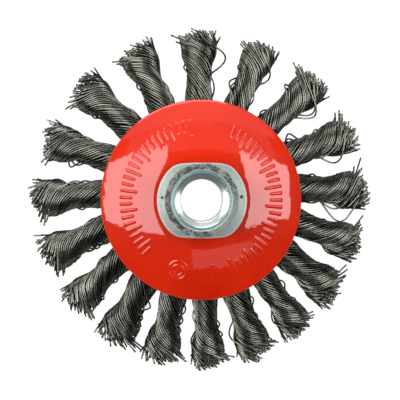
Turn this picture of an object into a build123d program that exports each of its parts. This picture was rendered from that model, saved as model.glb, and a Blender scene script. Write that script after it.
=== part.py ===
from build123d import *
import math
import os

# Bevel twist knot brush. Millimetres.
# Origin: middle of the nut's top face, where the grinder's flange seats.
# +Z points out of the bore towards the grinder, +Y is the side that the first knot points to.

# Hub nut
NUT_ROUND_D = 26.2
NUT_FLATS = 22.0
NUT_HEIGHT = 12.0
NUT_CORNER_R = 4.5
NUT_FACE_D = 21.2
NUT_FACE_SLOPE = 15.0
BORE_D = 12.2
MOUTH_D = 17.5
MOUTH_STEP_D = 16.0
MOUTH_STEP_DEPTH = 1.0
LEAD_IN_ANGLE = 60.0
SPIGOT_D = 18.0
STAKED_LIP = 1.6
STAKED_THICKNESS = 1.3

# Pressed plates
PLATE_BORE_CLEARANCE = 0.1
COVER_D = 60.0
COVER_THICKNESS = 1.5
COVER_FLAT_D = 27.4
COVER_DISH_BANDS = 2
COVER_SLOPE_IN = 12.0
COVER_SLOPE_RIM = 30.0
CARRIER_THICKNESS = 1.5
CARRIER_EDGE_WIDTH = 1.7
BACKING_THICKNESS = 1.2
BACKING_D = 53.0
STEP_FOOT_D = 31.0
PLATE_CLEARANCE = 0.1

# Knots
KNOT_COUNT = 18
FIRST_KNOT_ANGLE = 91.8
KNOT_DIP = 21.0
KNOT_LEAN = 12.8
LEAN_PHASE = 10.0
HOLE_CIRCLE_D = 37.2
BRUSH_D = 103.0
TWIST_PITCH = 34.0
BUNDLE_THICKNESS = 3.2
BUNDLE_WIDTH = 4.4
LEG_WIDTH = 5.4
STRAND_REACH_RIM = 4.1
STRAND_WIDTH_RIM = 6.2
STRAND_REACH_WAIST = 3.5
STRAND_WIDTH_WAIST = 6.4
STRAND_REACH_FLARE = 6.2
STRAND_WIDTH_FLARE = 9.4
STRAND_REACH_TIP = 5.0
STRAND_WIDTH_TIP = 8.0
WAIST_D = 76.0
FLARE_D = 93.0
STRAND_GAP = 0.5
HOLE_CLEARANCE = 0.3
CARRIER_CLEARANCE = 0.2
POCKET_CLEARANCE = 0.3
TWIST_STEPS = 8
LOOP_STEPS = 4
LOOP_WIDENING_POWER = 4

# Heights of the stack on the spigot, from the nut's shoulder down
shoulder_z = -NUT_HEIGHT
carrier_z = shoulder_z - COVER_THICKNESS
backing_z = carrier_z - CARRIER_THICKNESS
lip_z = backing_z - BACKING_THICKNESS
plate_bore_r = SPIGOT_D / 2 + PLATE_BORE_CLEARANCE
first_heading = math.radians(FIRST_KNOT_ANGLE)

# The cover's dish follows one arc, from its inner slope to its rim slope
dip = math.radians(KNOT_DIP)
slope_in = math.radians(COVER_SLOPE_IN)
slope_rim = math.radians(COVER_SLOPE_RIM)
dish_r = (COVER_D - COVER_FLAT_D) / 2 / (math.sin(slope_rim) - math.sin(slope_in))
dish_centre = Vector(
    COVER_FLAT_D / 2 - dish_r * math.sin(slope_in),
    shoulder_z - dish_r * math.cos(slope_in),
)

# Each bundle loops round the web between its hole and the carrier's edge
hole_circle_r = HOLE_CIRCLE_D / 2
hole_d = BUNDLE_WIDTH + 2 * HOLE_CLEARANCE
loop_in = CARRIER_THICKNESS / 2 + CARRIER_CLEARANCE
loop_out = loop_in + BUNDLE_THICKNESS
loop_r = (loop_in + loop_out) / 2
edge_x = hole_d / 2 + CARRIER_EDGE_WIDTH
rim_x = (COVER_D / 2 - hole_circle_r) / math.cos(dip)
waist_x = (WAIST_D / 2 - hole_circle_r) / math.cos(dip)
flare_x = (FLARE_D / 2 - hole_circle_r) / math.cos(dip)
knot_length = (BRUSH_D / 2 - hole_circle_r - STRAND_WIDTH_TIP / 2 * math.sin(dip)) / math.cos(dip)


def between(x, stations):
    """The sizes at x, on straight lines between the stations."""
    x = min(max(x, stations[0][0]), stations[-1][0])
    for low, high in zip(stations, stations[1:]):
        if x <= high[0]:
            share = (x - low[0]) / (high[0] - low[0])
            return [a + share * (b - a) for a, b in zip(low[1:], high[1:])]


def ring(reach_in, reach_out, width, u_axis, v_axis, centre=Vector()):
    """A strand's six-sided section, with flats towards the knot's axis and away from it."""
    middle = (reach_in + reach_out) / 2
    corners = (
        (reach_out, width / 4),
        (middle, width / 2),
        (reach_in, width / 4),
        (reach_in, -width / 4),
        (middle, -width / 2),
        (reach_out, -width / 4),
    )
    return [centre + u_axis * along + v_axis * across for along, across in corners]


def strand_rings(second):
    """A leg's sections from the carrier's edge to the tip, turning left-handed round the axis X."""
    stations = (
        (edge_x, loop_in, loop_out, LEG_WIDTH),
        (rim_x, STRAND_GAP / 2, STRAND_REACH_RIM, STRAND_WIDTH_RIM),
        (waist_x, STRAND_GAP / 2, STRAND_REACH_WAIST, STRAND_WIDTH_WAIST),
        (flare_x, STRAND_GAP / 2, STRAND_REACH_FLARE, STRAND_WIDTH_FLARE),
        (knot_length, STRAND_GAP / 2, STRAND_REACH_TIP, STRAND_WIDTH_TIP),
    )
    rings = []
    for step in range(TWIST_STEPS + 1):
        x = edge_x + (knot_length - edge_x) * step / TWIST_STEPS
        turn = 2 * math.pi * (x - edge_x) / TWIST_PITCH
        up = Vector(0, math.sin(turn), math.cos(turn))
        across = Vector(0, math.cos(turn), -math.sin(turn))
        reach_in, reach_out, width = between(x, stations)
        if second:
            rings.append(ring(reach_in, reach_out, width, -up, across, Vector(x, 0, 0)))
        else:
            rings.append(ring(reach_in, reach_out, width, up, across, Vector(x, 0, 0)))
    return rings


def loop_rings():
    """The sections of the fold, from the upper leg round the web and through the hole.

    They stay as narrow as the bundle in the hole and widen to the legs' width at both ends.
    """
    centre = Vector(loop_r, 0, 0)
    rings = []
    for step in range(LOOP_STEPS + 1):
        turn = math.pi * (0.5 + step / LOOP_STEPS)
        out = Vector(math.cos(turn), 0, math.sin(turn))
        widening = math.sin(turn) ** LOOP_WIDENING_POWER
        width = BUNDLE_WIDTH + (LEG_WIDTH - BUNDLE_WIDTH) * widening
        rings.append(ring(loop_in, loop_out, width, out, Vector(0, 1, 0), centre))
    return rings


def facet(*corners):
    return Face(Wire.make_polygon(corners))


def bundle_solid(rings):
    """One bundle as a closed skin of flat facets over its sections.

    The facets next to the knot's axis are split along the diagonal that falls away from it,
    so that the two legs never cut each other, and the others along the one that stands out.
    """
    inner_sides = (2, 3, 4)
    skin = [facet(*rings[0]), facet(*rings[-1])]
    for near, far in zip(rings, rings[1:]):
        for side in range(len(near)):
            if side in inner_sides:
                skin.append(facet(near[side - 1], near[side], far[side]))
                skin.append(facet(near[side - 1], far[side], far[side - 1]))
            else:
                skin.append(facet(near[side - 1], near[side], far[side - 1]))
                skin.append(facet(near[side], far[side], far[side - 1]))
    return Solid(Shell(skin))


upper_leg = strand_rings(second=False)
lower_leg = strand_rings(second=True)
knot_rings = upper_leg[::-1] + loop_rings() + lower_leg
bundle = bundle_solid(knot_rings)


def dish_points(depth):
    """The ends of the dish's conical bands, at a depth under its outer face."""
    points = []
    for band in range(COVER_DISH_BANDS + 1):
        slope = slope_in + (slope_rim - slope_in) * band / COVER_DISH_BANDS
        points.append(dish_centre + Vector(math.sin(slope), math.cos(slope)) * (dish_r - depth))
    return points


cover_outside = dish_points(0)
cover_inside = dish_points(COVER_THICKNESS)


def cover_inside_z(radius):
    """The height of the cover's inner face at a radius of its dish."""
    return between(radius, [(point.X, point.Y) for point in cover_inside])[0]


# The knots lie as high as the inside of the cover lets them, clear of it by the pocket's clearance
root_points = [point for leg in (upper_leg, loop_rings()) for ring_ in leg for point in ring_]
seat_heights = []
root_depth = 0
for point in root_points:
    radius = math.hypot(
        hole_circle_r + point.X * math.cos(dip) + point.Z * math.sin(dip), point.Y
    )
    if radius < cover_inside[-1].X:
        rise = point.Z * math.cos(dip) - point.X * math.sin(dip)
        seat_heights.append(cover_inside_z(radius) - POCKET_CLEARANCE - rise)
        root_depth = max(root_depth, abs(point.Z))
knot_z = min(seat_heights)


def slope_line_z(radius, drop):
    """The height at a radius of the line that lies at a distance, drop, square below the knots' axes."""
    return knot_z - drop / math.cos(dip) + (hole_circle_r - radius) * math.tan(dip)


# Hub nut
bore_z = -MOUTH_STEP_DEPTH - (MOUTH_STEP_D - BORE_D) / 2 / math.tan(math.radians(LEAD_IN_ANGLE))
nut_end_z = lip_z - STAKED_THICKNESS
face_drop = (NUT_ROUND_D - NUT_FACE_D) / 2 * math.tan(math.radians(NUT_FACE_SLOPE))
with BuildPart() as hub_nut:
    with BuildSketch(Plane.XY.offset(shoulder_z)):
        Circle(NUT_ROUND_D / 2)
        flats = Rectangle(NUT_ROUND_D, NUT_FLATS, mode=Mode.INTERSECT)
        fillet(flats.edges().filter_by(Axis.X).vertices(), NUT_CORNER_R)
    extrude(amount=NUT_HEIGHT)
    with BuildSketch(Plane.XZ):
        with BuildLine():
            Polyline(
                (NUT_FACE_D / 2, 0),
                (NUT_ROUND_D / 2, 0),
                (NUT_ROUND_D / 2, -face_drop),
                close=True,
            )
        make_face()
    revolve(axis=Axis.Z, mode=Mode.SUBTRACT)
    with BuildSketch(Plane.XY.offset(shoulder_z)):
        Circle(SPIGOT_D / 2)
    extrude(amount=nut_end_z - shoulder_z)
    with BuildSketch(Plane.XY.offset(nut_end_z)):
        Circle(SPIGOT_D / 2 + STAKED_LIP)
    extrude(amount=STAKED_THICKNESS)
    chamfer(hub_nut.faces().sort_by(Axis.Z)[0].edges(), STAKED_THICKNESS / 2)
    with BuildSketch(Plane.XZ):
        with BuildLine():
            Polyline(
                (0, 0),
                (MOUTH_D / 2, 0),
                (MOUTH_STEP_D / 2, -MOUTH_STEP_DEPTH),
                (BORE_D / 2, bore_z),
                (BORE_D / 2, nut_end_z),
                (0, nut_end_z),
                close=True,
            )
        make_face()
    revolve(axis=Axis.Z, mode=Mode.SUBTRACT)

# Cover plate
with BuildPart() as cover_plate:
    with BuildSketch(Plane.XZ):
        with BuildLine():
            Polyline(
                (plate_bore_r, shoulder_z),
                *cover_outside,
                *reversed(cover_inside),
                (cover_inside[0].X, carrier_z),
                (plate_bore_r, carrier_z),
                close=True,
            )
        make_face()
    revolve(axis=Axis.Z)


def parallel(points, distance):
    """The corners of a line that runs a distance to the right of the line through the points."""
    runs = [(end - start).normalized() for start, end in zip(points, points[1:])]
    rights = [Vector(run.Y, -run.X) for run in runs]
    corners = [points[0] + rights[0] * distance]
    for point, before, after in zip(points[1:], rights, rights[1:]):
        mitre = (before + after).normalized()
        corners.append(point + mitre * (distance / mitre.dot(before)))
    corners.append(points[-1] + rights[-1] * distance)
    return corners


def stepped_corners(flat_z, flat_r, drop, edge_r):
    """The corners of a stepped plate's upper face: a flat middle, a step down, a slope outwards.

    The slope runs along the knots, and drop is how far square below their axes it lies.
    """
    return [
        Vector(plate_bore_r, flat_z),
        Vector(flat_r, flat_z),
        Vector(STEP_FOOT_D / 2, slope_line_z(STEP_FOOT_D / 2, drop)),
        Vector(edge_r, slope_line_z(edge_r, drop)),
    ]


def flat_sided(corners):
    """A solid with flat bands through a section's corners, with one side for each knot."""
    half_side = math.pi / KNOT_COUNT
    rings = []
    for corner in corners:
        turns = [first_heading + half_side * (2 * side + 1) for side in range(KNOT_COUNT)]
        reach = corner.X / math.cos(half_side)
        rings.append([Vector(reach * math.cos(t), reach * math.sin(t), corner.Y) for t in turns])
    skin = [facet(*rings[0]), facet(*rings[-1])]
    for near, far in zip(rings, rings[1:]):
        for side in range(KNOT_COUNT):
            skin.append(facet(near[side - 1], near[side], far[side], far[side - 1]))
    return Solid(Shell(skin))


def stepped_plate(upper, thickness):
    """A plate pressed to the corners of its upper face, with one flat side under each knot.

    The flat sides run out past the plate's edge, which is then cut round.
    """
    lower = parallel(upper, thickness)
    lap = Vector(thickness, -thickness * math.tan(dip))
    rim, inner_rim = upper[-1] + lap, lower[-1] + lap
    with BuildPart() as plate:
        add(flat_sided([Vector(rim.X, inner_rim.Y), rim, upper[2], upper[1]]))
        add(flat_sided([inner_rim, lower[2], lower[1]]), mode=Mode.SUBTRACT)
        with BuildSketch(Plane.XY.offset(inner_rim.Y)):
            Circle(upper[-1].X)
            Circle(plate_bore_r, mode=Mode.SUBTRACT)
        extrude(amount=upper[0].Y - inner_rim.Y, mode=Mode.INTERSECT)
    return plate.part


def knot_plane(index):
    """The plane of a knot at its hole: X runs out along the knot, Z square up from the carrier."""
    clockwise = math.radians(index * 360 / KNOT_COUNT)
    heading = first_heading - clockwise
    lean = -math.radians(KNOT_LEAN) * math.sin(math.pi / 2 - heading + math.radians(LEAN_PHASE))
    radial = Vector(math.cos(heading), math.sin(heading), 0)
    down_slope = radial * math.cos(dip) - Vector(0, 0, math.sin(dip))
    normal = radial * math.sin(dip) + Vector(0, 0, math.cos(dip))
    sideways = normal.cross(down_slope)
    centre = radial * hole_circle_r + Vector(0, 0, knot_z)
    return Plane(centre, down_slope * math.cos(lean) + sideways * math.sin(lean), normal)


knot_planes = [knot_plane(index) for index in range(KNOT_COUNT)]

# Carrier plate
carrier_edge_r = hole_circle_r + edge_x * math.cos(dip)
carrier_flat_r = cover_inside[0].X * math.cos(math.pi / KNOT_COUNT) - PLATE_CLEARANCE
carrier_corners = stepped_corners(carrier_z, carrier_flat_r, -CARRIER_THICKNESS / 2, carrier_edge_r)
with BuildPart() as carrier_plate:
    add(stepped_plate(carrier_corners, CARRIER_THICKNESS))
    with Locations(*[plane.location for plane in knot_planes]):
        Cylinder(hole_d / 2, 2 * CARRIER_THICKNESS, mode=Mode.SUBTRACT)

# Backing plate, its step nested inside the carrier's
backing_flat_r = parallel(carrier_corners, CARRIER_THICKNESS)[1].X - PLATE_CLEARANCE
backing_drop = root_depth + POCKET_CLEARANCE
backing_corners = stepped_corners(backing_z, backing_flat_r, backing_drop, BACKING_D / 2)
with BuildPart() as backing_plate:
    add(stepped_plate(backing_corners, BACKING_THICKNESS))

# The folded end of each bundle sits in its hole, its legs lie on both faces of the carrier
knots = {}
for index, plane in enumerate(knot_planes, start=1):
    with BuildPart() as knot:
        with Locations(plane.location):
            add(bundle)
    knots[f"knot_{index:02d}"] = knot.part

os.makedirs("parts", exist_ok=True)
pieces = {
    "hub_nut": hub_nut.part,
    "cover_plate": cover_plate.part,
    "carrier_plate": carrier_plate.part,
    "backing_plate": backing_plate.part,
    **knots,
}
for name, piece in pieces.items():
    piece.label = name
    export_step(piece, f"parts/{name}.step")
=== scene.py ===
"""Bevel brush with twisted wire knots: wires, painted cover, turned nut and pressed plates.

Lengths in the classes are millimetres, and a mesh is scaled to metres as it is made.
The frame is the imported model's: origin in the middle of the nut's top face, +Z out of
the bore towards the grinder, +Y towards the side that the first knot points to.
"""

from __future__ import annotations

import logging
from dataclasses import dataclass, field
from enum import Enum
from functools import reduce

import bpy
import numpy as np
from mathutils import Matrix, Vector

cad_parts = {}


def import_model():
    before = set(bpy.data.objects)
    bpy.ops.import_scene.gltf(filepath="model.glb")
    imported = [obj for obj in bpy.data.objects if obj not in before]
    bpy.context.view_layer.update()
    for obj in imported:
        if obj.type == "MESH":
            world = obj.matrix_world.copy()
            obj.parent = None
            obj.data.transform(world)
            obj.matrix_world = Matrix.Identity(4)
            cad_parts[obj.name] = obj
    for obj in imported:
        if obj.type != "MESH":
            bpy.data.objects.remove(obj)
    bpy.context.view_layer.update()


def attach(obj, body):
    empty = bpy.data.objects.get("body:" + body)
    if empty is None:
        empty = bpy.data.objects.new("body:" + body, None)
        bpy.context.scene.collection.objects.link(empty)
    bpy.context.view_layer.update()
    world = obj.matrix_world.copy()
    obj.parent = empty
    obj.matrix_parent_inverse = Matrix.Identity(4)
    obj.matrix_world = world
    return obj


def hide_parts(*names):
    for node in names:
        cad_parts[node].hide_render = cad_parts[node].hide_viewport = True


LOG = logging.getLogger("brush")
MM = 0.001
CM = 10.0
FULL_TURN = 2 * np.pi
BODY = "root"
SURFACE = "surface"

Socket = bpy.types.NodeSocket
Colour = tuple[float, float, float]
Pair = tuple[float, float]
Place = tuple[float, float, float]
Row = tuple[float, ...]
Array = np.ndarray
Finish = bpy.types.Material


class Leg(Enum):
    """The two legs of a folded bundle, by the side of the carrier that they leave on."""

    UPPER = 1.0
    LOWER = -1.0


class Slot(Enum):
    """The record's material slots."""

    NUT = "zinc_nut"
    COVER = "red_cover"
    PLATE = "bare_steel"
    WIRE = "steel_wire"


# Shapes as arrays


@dataclass
class Skin:
    """Faces and corner values that wait to become a mesh.

    Args:
        vertices: Places in millimetres.
        corners: Vertex numbers, face after face.
        sizes: How many corners each face has.
        uv: A pair of values for each corner.
    """

    vertices: Array
    corners: Array
    sizes: Array
    uv: Array

    def piece(self, name: str, material: Finish) -> bpy.types.Object:
        """Makes the smooth shaded object and links it to the scene.

        Args:
            name: Its name.
            material: Its finish.

        Returns:
            The new object.
        """
        mesh = bpy.data.meshes.new(name)
        starts = np.concatenate(([0], np.cumsum(self.sizes)[:-1])).astype(np.int32)
        mesh.vertices.add(len(self.vertices))
        mesh.vertices.foreach_set("co", (self.vertices * MM).astype(np.float32).ravel())
        mesh.loops.add(len(self.corners))
        mesh.loops.foreach_set("vertex_index", self.corners.astype(np.int32))
        mesh.polygons.add(len(self.sizes))
        mesh.polygons.foreach_set("loop_start", starts)
        mesh.polygons.foreach_set("loop_total", self.sizes.astype(np.int32))
        mesh.polygons.foreach_set("use_smooth", np.ones(len(self.sizes), dtype=bool))
        layer = mesh.uv_layers.new(name=SURFACE)
        layer.data.foreach_set("uv", self.uv.astype(np.float32).ravel())
        mesh.materials.append(material)
        mesh.validate()
        mesh.update()
        made = bpy.data.objects.new(name, mesh)
        bpy.context.scene.collection.objects.link(made)
        return made


def closed_grid(points: Array, uv: Array) -> Skin:
    """Joins a grid of places that closes on itself both ways.

    Formula: the quad of row r and column c has the corners (r, c), (r, c+1), (r+1, c+1)
    and (r+1, c), counted round.

    Args:
        points: Places, rows by columns by three.
        uv: Values, rows by columns by two.

    Returns:
        The grid's faces.
    """
    rows, columns = points.shape[:2]
    number = np.arange(rows * columns).reshape(rows, columns)
    ahead = np.roll(number, -1, axis=1)
    above = np.roll(number, -1, axis=0)
    both = np.roll(ahead, -1, axis=0)
    corners = np.stack([number, ahead, both, above], axis=-1).ravel()
    sizes = np.full(rows * columns, 4)
    return Skin(points.reshape(-1, 3), corners, sizes, uv.reshape(-1, 2)[corners])


def turn_angles(columns: int) -> Array:
    """The angles of a turn's even steps, from nought."""
    return np.arange(columns) * (FULL_TURN / columns)


def revolved(radius: Array, height: Array, columns: int) -> Skin:
    """Turns a closed section round the Z axis.

    Formula: x is the radius times the cosine of the column's angle, y the same with the
    sine, and z the height. The corner values are the shares of the turn and of the rows.

    Args:
        radius: The section's radii, one for each row, or rows by columns.
        height: Its heights, in the same shape.
        columns: How many steps the turn has.

    Returns:
        The ring's faces.
    """
    turn = turn_angles(columns)
    rows = radius.shape[0]
    wide = np.broadcast_to(radius.reshape(rows, -1), (rows, columns))
    high = np.broadcast_to(height.reshape(rows, -1), (rows, columns))
    points = np.stack([wide * np.cos(turn), wide * np.sin(turn), high], axis=-1)
    share = np.arange(rows)[:, None] / rows
    return closed_grid(points, np.stack(np.broadcast_arrays(turn / FULL_TURN, share), axis=-1))


def tubes(paths: Array, out: Array, radius: float, sides: int, marks: Array) -> Skin:
    """Wires along many paths at once.

    Formula: a ring's places are the path's point plus the radius times the cosine of the
    ring's angle along the normal and the sine along the binormal. The normal is the outward
    direction less its part along the path, and the binormal is the path's direction crossed
    with it.

    Args:
        paths: Places, wires by points by three.
        out: Directions across the paths, in the same shape.
        radius: The wire's radius.
        sides: How many sides a wire has.
        marks: A value for each wire, its first corner value. The second is the length along
            the wire in centimetres.

    Returns:
        The wires' faces, with closed ends.
    """
    wires, points = paths.shape[:2]
    along = unit(np.gradient(paths, axis=1))
    normal = unit(out - along * np.sum(out * along, axis=-1, keepdims=True))
    binormal = np.cross(along, normal)
    turn = turn_angles(sides)[:, None]
    ring = np.cos(turn) * normal[:, :, None] + np.sin(turn) * binormal[:, :, None]
    places = paths[:, :, None] + radius * ring
    number = np.arange(wires * points * sides).reshape(wires, points, sides)
    near, far = number[:, :-1], number[:, 1:]
    quads = np.stack([near, np.roll(near, -1, axis=2), np.roll(far, -1, axis=2), far], axis=-1)
    caps = np.concatenate([number[:, 0, ::-1], number[:, -1]])
    corners = np.concatenate([quads.ravel(), caps.ravel()])
    sizes = np.concatenate([np.full(wires * (points - 1) * sides, 4), np.full(2 * wires, sides)])
    steps = np.linalg.norm(np.diff(paths, axis=1), axis=-1)
    length = np.concatenate([np.zeros((wires, 1)), np.cumsum(steps, axis=1)], axis=1)
    values = np.stack(np.broadcast_arrays(marks[:, None, None], length[:, :, None] / CM), axis=-1)
    values = np.broadcast_to(values, (wires, points, sides, 2)).reshape(-1, 2)
    return Skin(places.reshape(-1, 3), corners, sizes, values[corners])


def quadratic(start: Array, control: Array, end: Array, t: Array) -> Array:
    """A quadratic curve: (1-t)^2 start + 2t(1-t) control + t^2 end, at the shares t."""
    return (1 - t) ** 2 * start + 2 * t * (1 - t) * control + t**2 * end


def filleted(corners: Array, radii: Array, steps: int = 5) -> Array:
    """Rounds the corners of a closed section.

    Formula: a corner becomes points of a quadratic curve between its edges, the corner being
    the control point.

    Args:
        corners: The section's corners, radius and height, anticlockwise.
        radii: How far from each corner its rounding starts.
        steps: How many points a rounding has.

    Returns:
        The rounded section's points.
    """
    start = corners + unit(np.roll(corners, 1, axis=0) - corners) * radii[:, None]
    end = corners + unit(np.roll(corners, -1, axis=0) - corners) * radii[:, None]
    t = np.linspace(0, 1, steps)[None, :, None]
    return quadratic(start[:, None], corners[:, None], end[:, None], t).reshape(-1, 2)


def smooth_step(share: Array) -> Array:
    """Eases shares from 0 to 1: a share s becomes 3s^2 - 2s^3."""
    return share * share * (3 - 2 * share)


def gathered(share: Array) -> Array:
    """The squared share, nought below a share of 0 and on at the same rate beyond 1."""
    share = np.clip(share, 0, None)
    return np.where(share < 1, share**2, 2 * share - 1)


def lesser(first: Array, second: float, blend: float) -> Array:
    """The smooth minimum: minus blend times the log of the sum of exp(-value / blend)."""
    low = np.minimum(first, second)
    return low - blend * np.log(np.exp((low - first) / blend) + np.exp((low - second) / blend))


def positive(x: Array, blend: float) -> Array:
    """The smooth maximum of x and nought: half of x plus the root of x^2 + blend^2."""
    return (x + np.sqrt(x**2 + blend**2)) / 2


def unit(directions: Array) -> Array:
    """The directions, along the last axis, at length 1."""
    return directions / np.linalg.norm(directions, axis=-1, keepdims=True)


def eased(x: Array, stations: Array, values: Array) -> Array:
    """Sizes at x that go from station to station by the smooth step of the share covered.

    Args:
        x: Where the sizes are wanted.
        stations: Where the sizes are known, rising.
        values: The known sizes.

    Returns:
        The sizes, in the shape of x.
    """
    last = len(stations) - 2
    low = np.clip(np.searchsorted(stations, x, side="right") - 1, 0, last)
    share = np.clip((x - stations[low]) / (stations[low + 1] - stations[low]), 0, 1)
    return values[low] + (values[low + 1] - values[low]) * smooth_step(share)


# Finishes


@dataclass(frozen=True)
class Grain:
    """A noise: its waves for each unit of the vector, detail, roughness and weight."""

    scale: float
    detail: float = 3.0
    rough: float = 0.6
    weight: float = 1.0


class Tree:
    """A node tree, with short calls that add and join its nodes."""

    middle_span: Pair = (0.3, 0.7)

    def __init__(self, owner: Finish | bpy.types.World) -> None:
        """Empties the owner's tree.

        Args:
            owner: The material or world.
        """
        owner.use_nodes = True
        self.tree = owner.node_tree
        self.tree.nodes.clear()

    def node(self, kind: str, links: dict | None = None, **options: object) -> bpy.types.Node:
        """Adds a node.

        Args:
            kind: Its type, without the ShaderNode prefix.
            links: Inputs by name or number: a socket to join, a number or a colour.
            options: Its own properties.

        Returns:
            The new node.
        """
        made = self.tree.nodes.new("ShaderNode" + kind)
        for key, value in options.items():
            setattr(made, key, value)
        for key, value in (links or {}).items():
            if isinstance(value, Socket):
                self.tree.links.new(value, made.inputs[key])
            else:
                made.inputs[key].default_value = (*value, 1) if isinstance(value, tuple) else value
        return made

    def math(self, operation: str, *values: Socket | float) -> Socket:
        """The result of a Math node."""
        return self.node("Math", dict(enumerate(values)), operation=operation).outputs[0]

    def fold(self, operation: str, *values: Socket | float) -> Socket:
        """Values joined by one Math operation, from left to right."""
        return reduce(lambda left, right: self.math(operation, left, right), values)

    def product(self, *values: Socket | float) -> Socket:
        """The product of the values."""
        return self.fold("MULTIPLY", *values)

    def total(self, *values: Socket | float) -> Socket:
        """The sum of the values."""
        return self.fold("ADD", *values)

    def distance(self, x: Socket, y: Socket) -> Socket:
        """The root of the summed squares of x and y."""
        return self.math("SQRT", self.total(self.product(x, x), self.product(y, y)))

    def noise(self, vector: Socket, *grains: Grain) -> Socket:
        """The sum of the grains at a vector."""
        return self.total(*(self.grain(vector, grain) for grain in grains))

    def grain(self, vector: Socket, grain: Grain) -> Socket:
        """One noise at a vector, times its weight."""
        links = {"Vector": vector, "Scale": grain.scale, "Detail": grain.detail, "Roughness": grain.rough}
        return self.product(self.node("TexNoise", links).outputs["Fac"], grain.weight)

    def span(self, value: Socket, low: float, high: float, start: float = 0.0, end: float = 1.0) -> Socket:
        """A value taken from the span low to high to the span start to end, held at its ends."""
        links = {"Value": value, "From Min": low, "From Max": high, "To Min": start, "To Max": end}
        return self.node("MapRange", links).outputs[0]

    def middle(self, value: Socket, start: float = 0.0, end: float = 1.0) -> Socket:
        """A noise's middle values taken to the span start to end."""
        return self.span(value, *self.middle_span, start, end)

    def band(self, value: Socket, low: float, high: float, soft: float) -> Socket:
        """1 where a value is from low to high, fading to 0 over a soft width inside both."""
        return self.math("MINIMUM", self.span(value, low, low + soft), self.span(value, high, high - soft))

    def mix(self, share: Socket | float, first: Socket | Colour, second: Socket | Colour) -> Socket:
        """Two colours mixed by a share."""
        return self.node("Mix", {0: share, 6: first, 7: second}, data_type="RGBA").outputs[2]

    def place(self) -> tuple[Socket, ...]:
        """Object coordinates, whole in metres and then X, Y and Z in millimetres."""
        whole = self.node("TexCoord").outputs["Object"]
        return whole, *(self.product(part, 1 / MM) for part in self.parts(whole))

    def parts(self, vector: Socket) -> bpy.types.NodeOutputs:
        """X, Y and Z of a vector."""
        return self.node("SeparateXYZ", {0: vector}).outputs

    def surface(self) -> tuple[Socket, Socket]:
        """The two corner values of a piece's faces."""
        return tuple(self.parts(self.node("UVMap", uv_map=SURFACE).outputs[0]))[:2]


class Graph(Tree):
    """A finish's node tree, which ends in one Principled shader."""

    def __init__(self, slot: Slot) -> None:
        """Starts the finish of a slot.

        Args:
            slot: The slot that names the material.
        """
        self.material = bpy.data.materials.new(slot.value)
        super().__init__(self.material)
        self.shader = self.node("BsdfPrincipled")
        self.node("OutputMaterial", {"Surface": self.shader.outputs[0]})

    def set(self, **values: object) -> None:
        """Sets constant values on the shader's own sockets, with _ for a space."""
        for key, value in values.items():
            self.shader.inputs[key.replace("_", " ")].default_value = value

    def join(self, value: Socket, name: str) -> None:
        """Joins a socket to one of the shader's inputs."""
        self.tree.links.new(value, self.shader.inputs[name])

    def bump(self, height: Socket, strength: float, depth: float) -> None:
        """Joins a height to the shader's normals and its coat's.

        Args:
            height: The height, 0 to 1.
            strength: The share of the bump that is used.
            depth: How deep 1 is, in millimetres.
        """
        made = self.node("Bump", {"Height": height, "Strength": strength, "Distance": depth * MM})
        self.join(made.outputs[0], "Normal")
        self.join(made.outputs[0], "Coat Normal")


@dataclass(frozen=True)
class WireFinish:
    """Drawn steel wire, dull and dark, each wire a shade of its own with a streaked skin."""

    dark: Colour = (0.045, 0.045, 0.038)
    light: Colour = (0.38, 0.38, 0.33)
    own_share: float = 0.45
    shade_span: Pair = (0.15, 0.85)
    shade_seed: float = 311.0
    streak_seed: float = 97.0
    streak: Grain = Grain(1.6, 1.5)
    roughness: Pair = (0.14, 0.26)
    skin: Grain = Grain(4200.0)
    skin_strength: float = 0.05
    skin_depth: float = 0.04

    def material(self) -> Finish:
        """Builds the material on the wire's number and the length along it.

        Returns:
            The slot's material.
        """
        g = Graph(Slot.WIRE)
        number, length = g.surface()
        shuffled = g.node("TexWhiteNoise", {"W": g.product(number, self.shade_seed)}, noise_dimensions="1D")
        vector = g.node("CombineXYZ", {0: g.product(number, self.streak_seed), 1: length}).outputs[0]
        streak = g.noise(vector, self.streak)
        own = g.product(shuffled.outputs["Value"], self.own_share)
        shade = g.total(own, g.product(streak, 1 - self.own_share))
        g.join(g.mix(g.span(shade, *self.shade_span), self.dark, self.light), "Base Color")
        g.join(g.middle(streak, *self.roughness), "Roughness")
        g.bump(g.noise(g.place()[0], self.skin), self.skin_strength, self.skin_depth)
        g.set(Metallic=0.95, Specular_IOR_Level=0.2, Specular_Tint=(0.1, 0.1, 0.09, 1))
        return g.material


@dataclass(frozen=True)
class PaintFinish:
    """Thick gloss red paint with a faint orange peel, thinner along the plate's rim."""

    red: Colour = (0.81, 0.025, 0.002)
    deep: Colour = (0.69, 0.015, 0.001)
    cloud: Grain = Grain(60.0)
    cloud_span: Pair = (0.35, 0.7)
    rim: Pair = (29.4, 30.1)
    rim_share: float = 0.45
    peel: tuple[Grain, Grain] = (Grain(700.0, 3.0, 0.5, 0.8), Grain(330.0, 1.0, 0.4, 1.8))
    peel_strength: float = 0.27
    peel_depth: float = 0.06

    def material(self) -> Finish:
        """Builds the material on the plate's own place.

        Returns:
            The slot's material.
        """
        g = Graph(Slot.COVER)
        whole, x, y, _ = g.place()
        cloud = g.span(g.noise(whole, self.cloud), *self.cloud_span)
        worn = g.product(g.span(g.distance(x, y), *self.rim), self.rim_share)
        g.join(g.mix(worn, g.mix(cloud, self.red, self.deep), self.deep), "Base Color")
        g.bump(g.noise(whole, *self.peel), self.peel_strength, self.peel_depth)
        g.set(Roughness=0.4, Specular_IOR_Level=0.1, Coat_Weight=1.0, Coat_Roughness=0.04, Coat_IOR=1.62)
        return g.material


@dataclass(frozen=True)
class Punch:
    """A punch mark on the nut's top face, by its place and its radius."""

    x: float
    y: float
    radius: float
    blur: float = 0.1


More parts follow.
